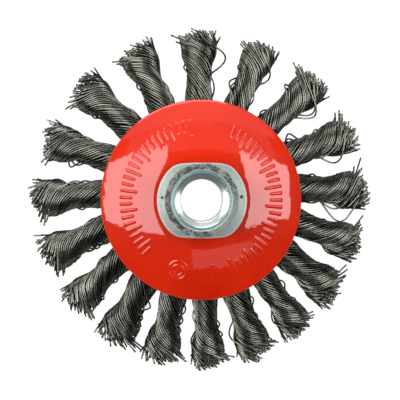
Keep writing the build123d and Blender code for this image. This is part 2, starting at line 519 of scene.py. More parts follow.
@dataclass(frozen=True)
class ZincFinish:
    """Dull zinc plating on a turned nut: a dark, stripped ring by the mouth, partly painted reflection;
    painted highlights on the mouth's edge and outer rounding.
    """

    plating: Colour = (0.38, 0.42, 0.39)
    shaded: Colour = (0.304, 0.336, 0.312)
    # painted highlight: near-white laid on the mouth's edge and on the rounded outer edge
    painted_highlight: Colour = (0.86, 0.90, 0.86)
    # dark of stripped plating and painted reflection of the dark overhead, on the ring by the mouth
    torn_and_painted_reflection: Colour = (0.07, 0.08, 0.08)
    mouth: Colour = (0.46, 0.66, 0.70)
    cone: Colour = (0.74, 0.80, 0.78)
    cloud: Grain = Grain(700.0, 4.0)
    top: Pair = (-0.4, -0.15)
    dark_ring: Pair = (8.9, 10.9)
    dark_ring_blur: float = 0.3
    wobble: Grain = Grain(340.0)
    wobble_reach: float = 1.6
    blotches: tuple[Grain, Grain] = (Grain(420.0, weight=0.45), Grain(2400.0, 4.0, 0.7, 0.55))
    blotch_span: Pair = (0.43, 0.53)
    clean_side: Pair = (0.87, -0.5)
    clean_span: Pair = (0.62, 0.93)
    clean_share: float = 0.3
    punches: tuple[Punch, ...] = (Punch(-11.5, 0.85, 0.38), Punch(11.45, 1.05, 0.5))
    mouth_radius: float = 8.72
    mouth_highlight: Pair = (0.22, 0.1)
    inside: Pair = (-0.05, -0.2)
    step_radius: float = 7.95
    step_blur: float = 0.15
    rim_highlight_rows: Pair = (0.036, 0.096)
    rim_highlight_blur: float = 0.01
    rim_highlight_share: float = 0.4
    roughness: Pair = (0.52, 0.24)
    torn_roughness: float = 0.2
    pits: Grain = Grain(2600.0, 4.0, 0.7)
    torn_depth: float = -1.5
    pit_strength: float = 0.45
    pit_depth: float = 0.05

    def damage_and_reflection(self, g: Graph, place: tuple[Socket, ...], radius: Socket, top: Socket) -> Socket:
        """The share of dark plating: stripped plating and painted reflection of the dark overhead, in
        blotches on a wobbling ring, and the punch marks.

        Args:
            g: The finish's tree.
            place: The nut's own coordinates.
            radius: Distances from the axis.
            top: 1 on the top face and 0 below it.

        Returns:
            The share, 0 to 1.
        """
        whole, x, y, _ = place
        wobble = g.product(g.math("SUBTRACT", g.noise(whole, self.wobble), 0.5), self.wobble_reach)
        ring = g.band(g.total(radius, wobble), *self.dark_ring, self.dark_ring_blur)
        blotch = g.span(g.noise(whole, *self.blotches), *self.blotch_span)
        toward = g.total(g.product(x, self.clean_side[0]), g.product(y, self.clean_side[1]))
        worn = g.span(g.math("DIVIDE", toward, radius), *self.clean_span, 1.0, self.clean_share)
        # stripped plating and painted reflection of the dark overhead, in blotches on the ring, less towards
        # the clean side
        torn_and_painted_reflection = g.product(ring, top, blotch, worn)
        for punch in self.punches:
            away = g.distance(g.math("SUBTRACT", x, punch.x), g.math("SUBTRACT", y, punch.y))
            mark = g.span(away, punch.radius + punch.blur, punch.radius - punch.blur)
            torn_and_painted_reflection = g.math("MAXIMUM", torn_and_painted_reflection, mark)
        return torn_and_painted_reflection

    def material(self) -> Finish:
        """Builds the material on the nut's own place and on its section's rows, with painted highlights on
        the mouth's edge and the rounded outer edge.

        Returns:
            The slot's material.
        """
        g = Graph(Slot.NUT)
        place = g.place()
        whole, x, y, z = place
        radius = g.distance(x, y)
        top = g.span(z, *self.top)
        torn_and_painted_reflection = self.damage_and_reflection(g, place, radius, top)
        skin = g.mix(g.middle(g.noise(whole, self.cloud)), self.plating, self.shaded)
        off_mouth = g.math("SUBTRACT", radius, self.mouth_radius)
        # painted highlight along the mouth's edge on the top face
        edge = g.span(g.math("ABSOLUTE", off_mouth), *self.mouth_highlight)
        # painted highlight on the rows of the rounded outer edge
        rounded = g.band(g.surface()[1], *self.rim_highlight_rows, self.rim_highlight_blur)
        inside = g.span(off_mouth, *self.inside)
        layers = (
            (g.product(edge, top), self.painted_highlight),
            (g.product(rounded, self.rim_highlight_share), self.painted_highlight),
            (inside, self.mouth),
            (g.span(radius, self.step_radius, self.step_radius - self.step_blur), self.cone),
            # dark ring: stripped plating and painted reflection of the dark overhead
            (torn_and_painted_reflection, self.torn_and_painted_reflection),
        )
        for share, colour in layers:
            skin = g.mix(share, skin, colour)
        g.join(skin, "Base Color")
        smooth = g.span(inside, 0.0, 1.0, *self.roughness)
        g.join(g.total(smooth, g.product(torn_and_painted_reflection, self.torn_roughness)), "Roughness")
        pits = g.product(g.noise(whole, self.pits), g.math("SUBTRACT", 1.0, inside))
        g.bump(g.total(pits, g.product(torn_and_painted_reflection, self.torn_depth)), self.pit_strength, self.pit_depth)
        g.set(Metallic=0.85)
        return g.material


@dataclass(frozen=True)
class SheetFinish:
    """Bare pressed steel sheet, oiled, with drawing marks and a few dark spots."""

    light: Colour = (0.46, 0.46, 0.45)
    dark: Colour = (0.20, 0.20, 0.19)
    cloud: Grain = Grain(110.0, 5.0)
    rings: Grain = Grain(2.6, 2.0)
    cloud_share: float = 0.65
    shade_span: Pair = (0.3, 0.65)
    spots: Grain = Grain(900.0, 2.0)
    spot_span: Pair = (0.66, 0.72)
    roughness: Pair = (0.3, 0.5)
    mark_strength: float = 0.2
    mark_depth: float = 0.05

    def material(self) -> Finish:
        """Builds the material on the plate's own place.

        Returns:
            The slot's material.
        """
        g = Graph(Slot.PLATE)
        whole, x, y, _ = g.place()
        cloud = g.noise(whole, self.cloud)
        rings = g.noise(g.node("CombineXYZ", {0: g.distance(x, y)}).outputs[0], self.rings)
        shade = g.total(g.product(cloud, self.cloud_share), g.product(rings, 1 - self.cloud_share))
        spots = g.span(g.noise(whole, self.spots), *self.spot_span)
        steel = g.mix(g.span(shade, *self.shade_span), self.dark, self.light)
        g.join(g.mix(spots, steel, self.dark), "Base Color")
        g.join(g.middle(cloud, *self.roughness), "Roughness")
        g.bump(g.total(rings, cloud), self.mark_strength, self.mark_depth)
        g.set(Metallic=0.95)
        return g.material


# The row of wire knots


@dataclass(frozen=True)
class KnotSeat:
    """A knot's own axes: X out along the knot, Y across it and Z square up from the carrier."""

    origin: Array
    axes: Array

    def to_brush(self, local: Array) -> Array:
        """Takes places in the knot's axes to the brush's frame."""
        return self.origin + local @ self.axes


@dataclass(frozen=True)
class KnotRow:
    """The circle of holes that the knots are folded through, and how each knot points."""

    count: int = 18
    first_angle: float = 91.8
    dip: float = 21.0
    lean: float = 12.8
    lean_phase: float = 10.0
    circle_radius: float = 18.6
    height: float = -20.024

    def seat(self, index: int) -> KnotSeat:
        """The axes of one knot at its hole.

        Formula: the knot heads outwards and falls by the dip, and leans sideways by the
        lean times the sine of its clockwise angle from +Y plus the phase.

        Args:
            index: The knot's number, from nought, clockwise.

        Returns:
            The knot's seat.
        """
        heading = np.radians(self.first_angle - index * 360 / self.count)
        dip = np.radians(self.dip)
        lean = -np.radians(self.lean) * np.sin(np.pi / 2 - heading + np.radians(self.lean_phase))
        radial = np.array([np.cos(heading), np.sin(heading), 0.0])
        up = np.array([0.0, 0.0, 1.0])
        slope = radial * np.cos(dip) - up * np.sin(dip)
        normal = radial * np.sin(dip) + up * np.cos(dip)
        sideways = np.cross(normal, slope)
        along = slope * np.cos(lean) + sideways * np.sin(lean)
        origin = radial * self.circle_radius + up * self.height
        return KnotSeat(origin, np.stack([along, np.cross(normal, along), normal]))


@dataclass(frozen=True)
class Stray:
    """A wire that stands off its knot in a loose loop, by its middle, half length and height.

    Its side is where it passes round the knot, in degrees from the knot's top to its left.
    """

    side: float
    middle: float
    half: float
    height: float


@dataclass(frozen=True)
class Scatter:
    """How knots and wires differ: spreads of the random draws, and spans from low to high.

    Millimetres and radians, apart from stray_side in degrees.
    """

    tip: float = 0.25
    phase: float = 0.10
    twist: float = 0.03
    swell: float = 0.04
    stray_side: Pair = (66, 98)
    stray_middle: Pair = (13.5, 26)
    stray_half: Pair = (1.9, 2.6)
    stray_height: Pair = (0.3, 0.9)
    packing_angle: float = 0.014
    packing_radius: float = 0.010
    end: float = 0.4
    free_run: float = 0.5
    relaxing: float = 0.12
    slope: float = 0.07
    wave: float = 0.03
    wave_pace: Pair = (0.25, 0.55)


@dataclass
class WireKnot:
    """One bundle of wires, folded through the carrier and twisted left-handed with itself.

    A wire keeps its place in the half-round section of its leg, whose sizes ease along the
    stations: the carrier's edge, the cover's rim, the waist, the flare and the tip. Near its
    end it springs free and runs on along its own slope, so the cut ends fan out.
    """

    number: int
    seat: KnotSeat
    strays: tuple[Stray, ...] = ()
    scatter: Scatter = Scatter()
    seed: int = 4000
    wire_radius: float = 0.27
    sides: int = 5
    leg_points: int = 33
    leg_crowding: float = 0.8
    loop_points: int = 7
    layers: tuple[tuple[float, int], ...] = ((0.97, 14), (0.76, 14), (0.53, 11), (0.30, 8), (0.10, 5))
    spread: float = 84.0
    length: float = 33.0
    dome: float = 2.6
    pitch: float = 32.0
    tightening: float = 0.72
    settling: float = 8.0
    free_run: float = 2.6
    slope_step: float = 0.5
    relaxing: float = 0.92
    held_back: float = 0.5
    loop_radius: float = 2.55
    loop_narrowing: int = 4
    stations: Row = (4.2, 12.2, 20.8, 28.4, 33.0)
    reach_in: Row = (0.95, 0.2, 0.15, 0.3, 0.4)
    reach_out: Row = (3.9, 4.1, 3.6, 5.5, 6.2)
    width: Row = (5.2, 6.6, 7.1, 10.6, 11.8)
    rest_depth: float = 5.4
    hole_width: float = 3.9
    small_strays: int = 5
    stray_reach: float = 1.1
    table: float = -36.65
    rng: np.random.Generator = field(init=False)
    tip_shift: float = field(init=False)
    phase: float = field(init=False)
    twist: float = field(init=False)
    swell: float = field(init=False)
    reach: Array = field(init=False)
    across: Array = field(init=False)

    def __post_init__(self) -> None:
        """Seeds the knot's own random draws and makes those that all its wires share."""
        self.rng = rng = np.random.default_rng(self.seed + self.number)
        own, count = self.scatter, self.small_strays
        self.tip_shift = rng.normal(0, own.tip)
        self.phase = rng.normal(0, own.phase)
        self.twist = rng.normal(1.0, own.twist)
        self.swell = rng.normal(1.0, own.swell)
        sides = rng.choice((-1, 1), count) * rng.uniform(*own.stray_side, count)
        spans = (own.stray_middle, own.stray_half, own.stray_height)
        sizes = [rng.uniform(*span, count) for span in spans]
        self.strays += tuple(Stray(*values) for values in zip(sides, *sizes))
        self.reach, self.across = self.packing()

    @property
    def edge(self) -> float:
        """How far along the knot the carrier's edge is, where the legs start."""
        return self.stations[0]

    def packing(self) -> tuple[Array, Array]:
        """Places of the wires in the half-round section.

        Formula: each layer is an arc of evenly spaced wires. A reach is the layer's radius times
        the cosine of the place's angle, and a side the same with the sine.

        Returns:
            The reaches, 0 to 1, and the sides, -1 to 1.
        """
        radii = np.concatenate([np.full(count, radius) for radius, count in self.layers])
        angles = np.concatenate([np.linspace(-1, 1, count) for _, count in self.layers])
        angles = angles * np.radians(self.spread)
        angles = angles + self.rng.normal(0, self.scatter.packing_angle, radii.size)
        radii = radii + self.rng.normal(0, self.scatter.packing_radius, radii.size)
        return radii * np.cos(angles), radii * np.sin(angles)

    def opening(self, x: Array) -> Array:
        """The share covered of the way from the waist to the flare, at distances x."""
        waist, flare = self.stations[2:4]
        return (x - waist) / (flare - waist)

    def settled(self, x: Array) -> Array:
        """The share covered of the way in which a wire takes up its own differences."""
        return np.clip((x - self.edge) / self.settling, 0, 1)

    def turn(self, x: Array) -> Array:
        """The knot's turn: 2 pi (x - edge) / pitch, its own phase and the flare's tightening."""
        even = FULL_TURN * (x - self.edge) / self.pitch * self.twist
        return even + self.phase * self.settled(x) + self.tightening * gathered(self.opening(x))

    def spiral(self, x: Array, side: Leg) -> Array:
        """Where the wires of a leg pass as long as they stay twisted.

        Formula: a wire lies at its reach along the turned upward direction and at its side along
        the turned sideways one.

        Args:
            x: Distances along the knot, wires by points.
            side: Which leg it is.

        Returns:
            The places, wires by points by three.
        """
        stations = np.array(self.stations)
        inner = eased(x, stations, np.array(self.reach_in))
        outer = eased(x, stations, np.array(self.reach_out) * self.swell)
        half = eased(x, stations, np.array(self.width) * self.swell) / 2
        u = (inner + (outer - inner) * self.reach[:, None]) * side.value
        v = half * self.across[:, None]
        turn = self.turn(x)
        sideways = u * np.sin(turn) + v * np.cos(turn)
        upwards = u * np.cos(turn) - v * np.sin(turn)
        return np.stack([x, sideways, upwards], axis=-1)

    def stand_off(self, path: Array) -> None:
        """Moves the outer wires nearest to the strays' places off the knot, into loops.

        Formula: away from the knot's axis by height times exp(-((x - middle) / half)^2).

        Args:
            path: A leg's paths, wires by points by three, changed in place.
        """
        outer = path[: self.layers[0][1]]
        rows = np.arange(len(outer))
        nearby = np.radians(self.spread / len(outer) * self.stray_reach)
        for stray in self.strays:
            at = np.argmin(np.abs(outer[..., 0] - stray.middle), axis=1)
            bearing = np.arctan2(outer[rows, at, 1], outer[rows, at, 2])
            gap = np.abs((bearing - np.radians(stray.side) + np.pi) % FULL_TURN - np.pi)
            near = int(np.argmin(gap))
            if gap[near] < nearby:
                wire = outer[near]
                away = np.array([np.sin(bearing[near]), np.cos(bearing[near])])
                bump = stray.height * np.exp(-(((wire[:, 0] - stray.middle) / stray.half) ** 2))
                wire[:, 1:] += bump[:, None] * away

    def leg(self, side: Leg) -> tuple[Array, Array]:
        """The wires' paths along one leg, from the carrier's edge to their tips.

        Formula: a wire follows the spiral to where it springs free and then its own slope there,
        turned a little by its own draw; a slope to the right is cut to a share, as the leg that
        crosses over holds those ends. It ends the earlier the farther it lies to the side, so the
        ends make an arc from above. The free ends' heights h become depth times tanh(h / depth),
        as they rest on a table.

        Args:
            side: Which leg it is.

        Returns:
            The paths and their outward directions, each wires by points by three.
        """
        wires, rng, own, step = self.reach.size, self.rng, self.scatter, self.slope_step
        full = np.full((wires, 1), self.length)
        aside = self.spiral(full, side)[:, 0, 1] / (self.width[-1] / 2)
        ends = self.length + self.tip_shift + rng.normal(0, own.end, wires) - self.dome * aside**2
        share = np.linspace(0, 1, self.leg_points) ** self.leg_crowding
        x = self.edge + (ends[:, None] - self.edge) * share
        free = (ends - rng.normal(self.free_run, own.free_run, wires))[:, None]
        path = self.spiral(np.minimum(x, free), side)
        leaving = self.spiral(free, side)
        slope = (leaving - self.spiral(free - step, side)) / step
        slope[..., 1:] *= rng.normal(self.relaxing, own.relaxing, wires)[:, None, None]
        slope[..., 1] = np.maximum(slope[..., 1], slope[..., 1] * self.held_back)
        slope[..., 1:] += rng.normal(0, own.slope, (wires, 1, 2))
        path += slope * np.maximum(x - free, 0)[..., None]
        self.stand_off(path)
        pace = rng.uniform(*own.wave_pace, (2, wires, 1))
        start = rng.uniform(0, FULL_TURN, (2, wires, 1))
        wave = rng.normal(0, own.wave, (2, wires, 1)) * np.sin(x * pace + start) * self.settled(x)
        path[..., 1:] += np.moveaxis(wave, 0, -1)
        held = self.rest_depth * np.tanh(path[..., 2] / self.rest_depth)
        path[..., 2] += (held - path[..., 2]) * np.clip(self.opening(x), 0, 1)
        turn = self.turn(x)
        up = np.stack([np.zeros_like(turn), np.sin(turn), np.cos(turn)], axis=-1) * side.value
        return path, up

    def loop(self) -> tuple[Array, Array]:
        """The wires' paths through the hole, from the upper leg to the lower.

        Formula: half a circle round the web's edge, the wire's reach being added to its radius;
        the section narrows to the hole with a power of the sine.

        Returns:
            The paths and their outward directions, each wires by points by three.
        """
        turn = np.pi * (0.5 + (np.arange(self.loop_points) + 1) / (self.loop_points + 1))
        out = np.stack([np.cos(turn), np.zeros_like(turn), np.sin(turn)], axis=-1)
        narrow = np.sin(turn) ** self.loop_narrowing
        half = (self.hole_width + (self.width[0] - self.hole_width) * narrow) / 2
        thick = self.reach_out[0] - self.reach_in[0]
        out = np.broadcast_to(out, (self.reach.size, *out.shape))
        path = out * (self.reach_in[0] + thick * self.reach)[:, None, None]
        path = path + np.array([self.loop_radius, 0.0, 0.0])
        path[..., 1] += half * self.across[:, None]
        return path, out

    def build(self, material: Finish) -> None:
        """Makes the wires as one piece in place of the solid, all of it above the table.

        Args:
            material: The wires' finish.
        """
        upper, upper_out = self.leg(Leg.UPPER)
        lower, lower_out = self.leg(Leg.LOWER)
        fold, fold_out = self.loop()
        paths = np.concatenate([upper[:, ::-1], fold, lower], axis=1)
        out = np.concatenate([upper_out[:, ::-1], fold_out, lower_out], axis=1)
        marks = self.rng.random(self.reach.size)
        places = self.seat.to_brush(paths)
        places[..., 2] = np.maximum(places[..., 2], self.table + self.wire_radius)
        skin = tubes(places, out @ self.seat.axes, self.wire_radius, self.sides, marks)
        dress(skin.piece(f"wires_{self.number:02d}", material), Slot.WIRE, f"knot_{self.number:02d}")


STRAYS: dict[int, tuple[Stray, ...]] = {
    1: (Stray(-92, 25.0, 3.4, 3.6), Stray(-80, 23.6, 2.8, 2.2)),
    2: (Stray(90, 18.4, 3.2, 1.6), Stray(-88, 23.2, 2.8, 2.6), Stray(-98, 24.4, 2.4, 1.8)),
    3: (Stray(-88, 24.6, 3.2, 2.8), Stray(-98, 25.2, 2.4, 1.8), Stray(86, 25.0, 2.4, 1.2)),
    4: (Stray(-88, 25.0, 3.0, 2.4), Stray(88, 14.4, 2.6, 2.2)),
    5: (Stray(-90, 24.6, 4.2, 4.8), Stray(-84, 23.0, 3.0, 1.8)),
    9: (Stray(-90, 24.0, 2.8, 1.8),),
    12: (Stray(84, 18.0, 2.6, 1.6),),
    16: (Stray(92, 23.4, 3.4, 1.8), Stray(84, 21.0, 3.0, 1.2)),
}


# The cover, the nut and the plates


def dress(piece: bpy.types.Object, slot: Slot, *nodes: str) -> None:
    """Rides a piece on the brush's body, names what it replaces, and reports it.

    Args:
        piece: The piece.
        slot: Its material slot; not used.
        nodes: The solids that it replaces.
    """
    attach(piece, BODY)
    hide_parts(*nodes)
    LOG.info("%s: %d faces, for %s", piece.name, len(piece.data.polygons), ", ".join(nodes))


@dataclass(frozen=True)
class CoverPlate:
    """The dished cover with raised plain bars in two arcs and a plain double ring.

    The row counts are those of the section's stretches, out from the bore and back.
    """

    bore: float = 9.1
    top: float = -12.0
    thickness: float = 1.5
    foot: float = 13.7
    foot_slope: float = 12.0
    foot_margins: Pair = (0.5, 1.0)
    flat: float = 12.0
    rim: float = 30.0
    rim_slope: float = 30.0
    edge: float = 0.45
    blend: float = 0.12
    columns: int = 640
    under_rows: tuple[int, int] = (6, 16)
    under_margins: Pair = (0.8, 0.3)
    outer_rows: tuple[int, ...] = (18, 34, 16, 8, 3)
    edge_points: int = 6
    bar_band: Pair = (19.4, 23.6)
    band_margin: float = 0.6
    bar_width: float = 0.30
    bar_step: float = 5.0
    bar_height: float = 0.20
    bar_group: int = 3
    bar_shortening: float = 1.3
    bar_arcs: tuple[Pair, ...] = ((98.0, 223.0), (-80.0, 70.0))
    ring_place: Pair = (-6.9, -20.7)
    ring_radii: Pair = (2.7, 1.5)
    ring_width: float = 0.22

    @property
    def dish_radius(self) -> float:
        """The dish's arc radius: the radii's difference over that of the slopes' sines."""
        slopes = np.sin(np.radians((self.foot_slope, self.rim_slope)))
        return (self.rim - self.foot) / (slopes[1] - slopes[0])

    @property
    def dish_centre(self) -> Pair:
        """The radius and height of the arc's centre, from the slope at the dish's foot."""
        slope, radius = np.radians(self.foot_slope), self.dish_radius
        return self.foot - radius * np.sin(slope), self.top - radius * np.cos(slope)

    def dish(self, radius: Array | float, depth: float) -> Array | float:
        """The dish's height at a depth under its outer face: the arc's, held under the flat."""
        level = self.top - depth
        return level - positive(level - self.arc(radius, depth), self.blend)

    def arc(self, radius: Array | float, depth: float) -> Array | float:
        """The arc's height: its centre's, plus the root of its squared radius less the reach's."""
        centre_r, centre_z = self.dish_centre
        return centre_z + np.sqrt((self.dish_radius - depth) ** 2 - (radius - centre_r) ** 2)

    def ridge(self, distance: Array, width: float) -> Array:
        """A ridge's height, 0 to 1: the smooth step of 1.5 less the distance over the width."""
        return smooth_step(np.clip(1.5 - distance / width, 0, 1))

    def marks(self, radius: Array, turn: Array) -> Array:
        """The raised marks' height at places on the outer face.

        Formula: the marks' height times the ridge of the distance from a mark's middle line. A
        bar's distance is along the arc to the nearest multiple of the bars' step, or past the
        band's end; a ring's is from its circle.

        Args:
            radius: Distances from the axis.
            turn: Angles round the axis, in radians.

        Returns:
            The heights, in the broadcast shape.
        """
        x, y = radius * np.cos(turn), radius * np.sin(turn)
        step = np.radians(self.bar_step)
        low, high = self.bar_band
        total = np.zeros(np.broadcast(radius, turn).shape)
        for start, end in np.radians(self.bar_arcs):
            middle, half = (start + end) / 2, (end - start) / 2
            offset = (turn - middle + np.pi) % FULL_TURN - np.pi
            count = np.clip(np.round((offset + half) / step), 0, np.floor(2 * half / step))
            aside = (offset + half - count * step) * radius
            tall = np.where(count % self.bar_group == 0, low, low + self.bar_shortening)
            beyond = np.maximum(np.maximum(tall - radius, radius - high), 0)
            total = np.maximum(total, self.ridge(np.hypot(aside, beyond), self.bar_width))
        away = np.hypot(x - self.ring_place[0], y - self.ring_place[1])
        for ring in self.ring_radii:
            total = np.maximum(total, self.ridge(np.abs(away - ring), self.ring_width))
        return total * self.bar_height

    def section(self) -> tuple[Array, int]:
        """The closed section: out along the underside, round the rim and back over the top.

        Formula: both faces follow the dish, and the rim's two corners are quadratic curves
        that meet in the middle of the wall.

        Returns:
            The points, radius and height, and the number of the outer face's first row.
        """
        low, high = self.bar_band
        lip = self.rim - self.thickness / 2
        first, last = self.under_margins
        flat_rows, dish_rows = self.under_rows
        inner = np.concatenate([
            np.linspace(self.bore, self.foot, flat_rows),
            np.linspace(self.foot + first, lip - last, dish_rows),
        ])
        before, past = self.foot_margins
        stops = (self.rim - self.edge, high + self.band_margin, low - self.band_margin, self.foot + before)
        *rows, foot_rows, middle_rows = self.outer_rows
        outer = np.concatenate([
            *(np.linspace(*stretch, endpoint=False) for stretch in zip(stops, stops[1:], rows)),
            np.linspace(stops[-1], self.foot - past, foot_rows),
            np.linspace(self.flat, self.bore, middle_rows),
        ])
        under = np.stack([inner, self.dish(inner, self.thickness)], axis=1)
        over = np.stack([outer, self.dish(outer, 0.0)], axis=1)
        corner_low = np.array([lip, self.dish(lip, self.thickness)])
        corner_high = np.array([self.rim, self.dish(self.rim, 0.0)])
        wall = (corner_low + corner_high) / 2
        t = np.linspace(0, 1, self.edge_points)[1:-1, None]
        lower = quadratic(under[-1], corner_low, wall, t)
        upper = quadratic(wall, corner_high, over[0], t)
        rim = np.concatenate([under, lower, wall[None], upper])
        return np.concatenate([rim, over]), len(rim)

    def build(self, material: Finish) -> None:
        """Makes the cover in place of its solid, its marks raised square to the dish's arc.

        Args:
            material: The paint.
        """
        section, first = self.section()
        radius = np.repeat(section[:, :1], self.columns, axis=1)
        height = np.repeat(section[:, 1:], self.columns, axis=1)
        raised = self.marks(radius[first:], turn_angles(self.columns))
        lean = (radius[first:] - self.dish_centre[0]) / self.dish_radius
        radius[first:] += raised * lean
        height[first:] += raised * np.sqrt(1 - lean**2)
        skin = revolved(radius, height, self.columns)
        dress(skin.piece("cover", material), Slot.COVER, "cover_plate")


def beside(place: Pair, *offsets: Pair) -> Array:
    """A section's points by their offsets from a place, radius and height."""
    return np.array(place) + np.array(offsets)


@dataclass(frozen=True)
class HubNut:
    """The turned nut with two spanner flats, its threaded bore and its staked spigot.

    Rows of its surface are arrays of radii and heights, two by rows by columns.
    """

    round_radius: float = 13.1
    flat: float = 11.0
    corner: float = 0.8
    steepest: float = 0.3
    shoulder: float = -12.0
    foot_rounding: float = 0.25
    foot_steps: Row = (0.0, 0.12, 0.25)
    wall_shares: Row = (0.1, 0.5, 0.9)
    edge: float = 0.45
    edge_angles: Row = (0, 15, 30, 45, 60, 75)
    face_radius: float = 10.6
    face_slope: float = 15.0
    face_blend: float = 0.1
    face_rows: int = 14
    face_crowding: float = 0.8
    mouth: float = 8.75
    mouth_rounding: float = 0.15
    step: float = 8.0
    step_depth: float = 1.0
    bore: float = 6.1
    lead_in: float = 64.0
    thread_depth: float = 0.85
    thread_pitch: float = 2.0
    thread_steepness: float = 1.3
    thread_crest: float = 0.15
    thread_fade: float = 1.2
    thread_ends: Pair = (0.1, 0.5)
    end: float = -17.5
    lip: float = -16.2
    spigot: float = 9.0
    lip_reach: float = 1.6
    columns: int = 320
    thread_rows: int = 84

    def outline(self, turn: Array) -> Array:
        """The outline's radii: the smooth minimum of the nut's round and its flats."""
        flats = self.flat / np.maximum(np.abs(np.sin(turn)), self.steepest)
        return lesser(flats, self.round_radius, self.corner)

    def face(self, radius: Array) -> Array:
        """The top face's height: nought, then the slope's fall past the turned face's edge."""
        past = positive(radius - self.face_radius, self.face_blend)
        return -past * np.tan(np.radians(self.face_slope))

    def shell(self, outline: Array) -> Array:
        """The shoulder's rounding, the wall, the rounded upper edge and the top face.

        Formula: the shoulder rounds off as a parabola and the edge as a quarter of a circle, and
        the face runs in from the outline to the mouth.

        Args:
            outline: The nut's radii, one for each column.

        Returns:
            The rows, from the shoulder up and in.
        """
        foot = self.foot_rounding
        depth = np.array(self.foot_steps)[:, None]
        top = self.face(outline - self.edge)
        wall = (top - self.edge - self.shoulder - foot) * np.array(self.wall_shares)[:, None]
        angle = np.radians(self.edge_angles)[:, None]
        start = outline - self.edge
        inward = np.linspace(0, 1, self.face_rows)[:, None] ** self.face_crowding
        face = start + (self.mouth + self.mouth_rounding - start) * inward
        stretches = (
            (outline - foot + depth, self.shoulder + depth * depth / foot),
            (outline, self.shoulder + foot + wall),
            (outline - self.edge * (1 - np.cos(angle)), top - self.edge * (1 - np.sin(angle))),
            (face, self.face(face)),
        )
        return np.concatenate([np.stack(np.broadcast_arrays(*pair)) for pair in stretches], axis=1)

    def rings(self, *stretches: Array) -> Array:
        """Level rows, the same all round, from stretches of the section's points."""
        return np.repeat(np.concatenate(stretches).T[:, :, None], self.columns, axis=2)

    def thread(self, turn: Array, top: float) -> Array:
        """The bore's wall with its thread.

        Formula: the bore's radius grows by the thread's depth times how far the height over the
        pitch, less the turn, is from the nearest crest, clipped flat at crest and root and faded
        out at both ends.

        Args:
            turn: Angles round the axis, in radians.
            top: The height where the lead-in meets the bore.

        Returns:
            The rows, from the top down.
        """
        first, last = self.thread_ends
        height = np.linspace(top - first, self.end + last, self.thread_rows)[:, None]
        wave = np.abs((height / self.thread_pitch - turn / FULL_TURN) % 1 - 0.5) * 2
        fade = np.clip(np.minimum(top - height, height - self.end) / self.thread_fade, 0, 1)
        profile = np.clip(wave * self.thread_steepness - self.thread_crest, 0, 1)
        radius = self.bore + self.thread_depth * profile * fade
        return np.stack(np.broadcast_arrays(radius, height))

    def build(self, material: Finish) -> None:
        """Makes the nut in place of its solid.

        Args:
            material: The plating.
        """
        turn = turn_angles(self.columns)
        lead = self.step_depth + (self.step - self.bore) / np.tan(np.radians(self.lead_in))
        tip = self.spigot + self.lip_reach
        mouth = self.rings(
            beside((self.mouth, 0), (0.09, -0.02), (0.03, -0.08), (0, -0.2)),
            beside((self.step, -self.step_depth), (0.12, 0.18), (0.03, 0.04), (-0.1, -0.05), (-0.95, -0.46)),
            beside((self.bore, -lead), (0.25, 0.12), (0.08, 0.02)),
        )
        spigot = self.rings(
            beside((self.bore, self.end), (0.1, 0.1), (0.4, 0)),
            beside((self.spigot, self.end), (0, 0)),
            beside((tip, self.end), (-0.6, 0), (-0.15, 0.2), (0, 0.6)),
            beside((tip, self.lip), (-0.1, -0.15), (-0.4, 0)),
            beside((self.spigot, self.lip), (0, 0)),
            beside((self.spigot, self.shoulder), (0, -0.02), (0.3, 0)),
        )
        rows = (self.shell(self.outline(turn)), mouth, self.thread(turn, -lead), spigot)
        skin = revolved(*np.concatenate(rows, axis=1), self.columns)
        dress(skin.piece("nut", material), Slot.NUT, "hub_nut")


@dataclass(frozen=True)
class PressedPlate:
    """A stepped plate of sheet steel with rounded edges, in place of its node.

    Its upper corners, radius and height, run from the hole to the wall's foot. The rounding
    says how far each corner's reaches, from the upper rim round to the lower.
    """

    name: str
    node: str
    thickness: float
    upper: tuple[Pair, ...]
    rim: float
    rounding: Row
    dip: float = KnotRow.dip
    columns: int = 240

    def corners(self) -> Array:
        """The section's corners.

        Formula: the flange falls from the wall's foot at the dip. The lower face is the upper one
        moved square to each stretch by the thickness: a corner moves along the sum of its two
        directions, by twice the thickness over that sum's square.

        Returns:
            The corners, radius and height, anticlockwise from the upper rim.
        """
        foot_radius, foot_height = self.upper[-1]
        fall = (self.rim - foot_radius) * np.tan(np.radians(self.dip))
        upper = np.array([*self.upper, (self.rim, foot_height - fall)])
        run = unit(np.diff(upper, axis=0))
        down = np.stack([run[:, 1], -run[:, 0]], axis=1)
        both = np.vstack([down[:1], down]) + np.vstack([down, down[-1:]])
        lower = upper + both * 2 * self.thickness / np.sum(both**2, axis=1, keepdims=True)
        return np.concatenate([upper[::-1], lower])

    def build(self, material: Finish) -> None:
        """Makes the plate of a material, in place of its solid."""
        skin = revolved(*filleted(self.corners(), np.array(self.rounding)).T, self.columns)
        dress(skin.piece(self.name, material), Slot.PLATE, self.node)


CARRIER = PressedPlate(
    name="carrier",
    node="carrier_plate",
    thickness=1.5,
    upper=((9.1, -13.5), (13.08, -13.5), (15.5, -18.03)),
    rim=22.52,
    rounding=(0.3, 0.9, 0.5, 0.1, 0.1, 0.9, 0.5, 0.3),
)
BACKING = PressedPlate(
    name="backing",
    node="backing_plate",
    thickness=1.2,
    upper=((9.1, -15.0), (12.08, -15.0), (15.5, -23.6)),
    rim=26.5,
    rounding=(0.3, 1.2, 0.7, 0.1, 0.1, 0.9, 1.0, 0.3),
)


# The studio


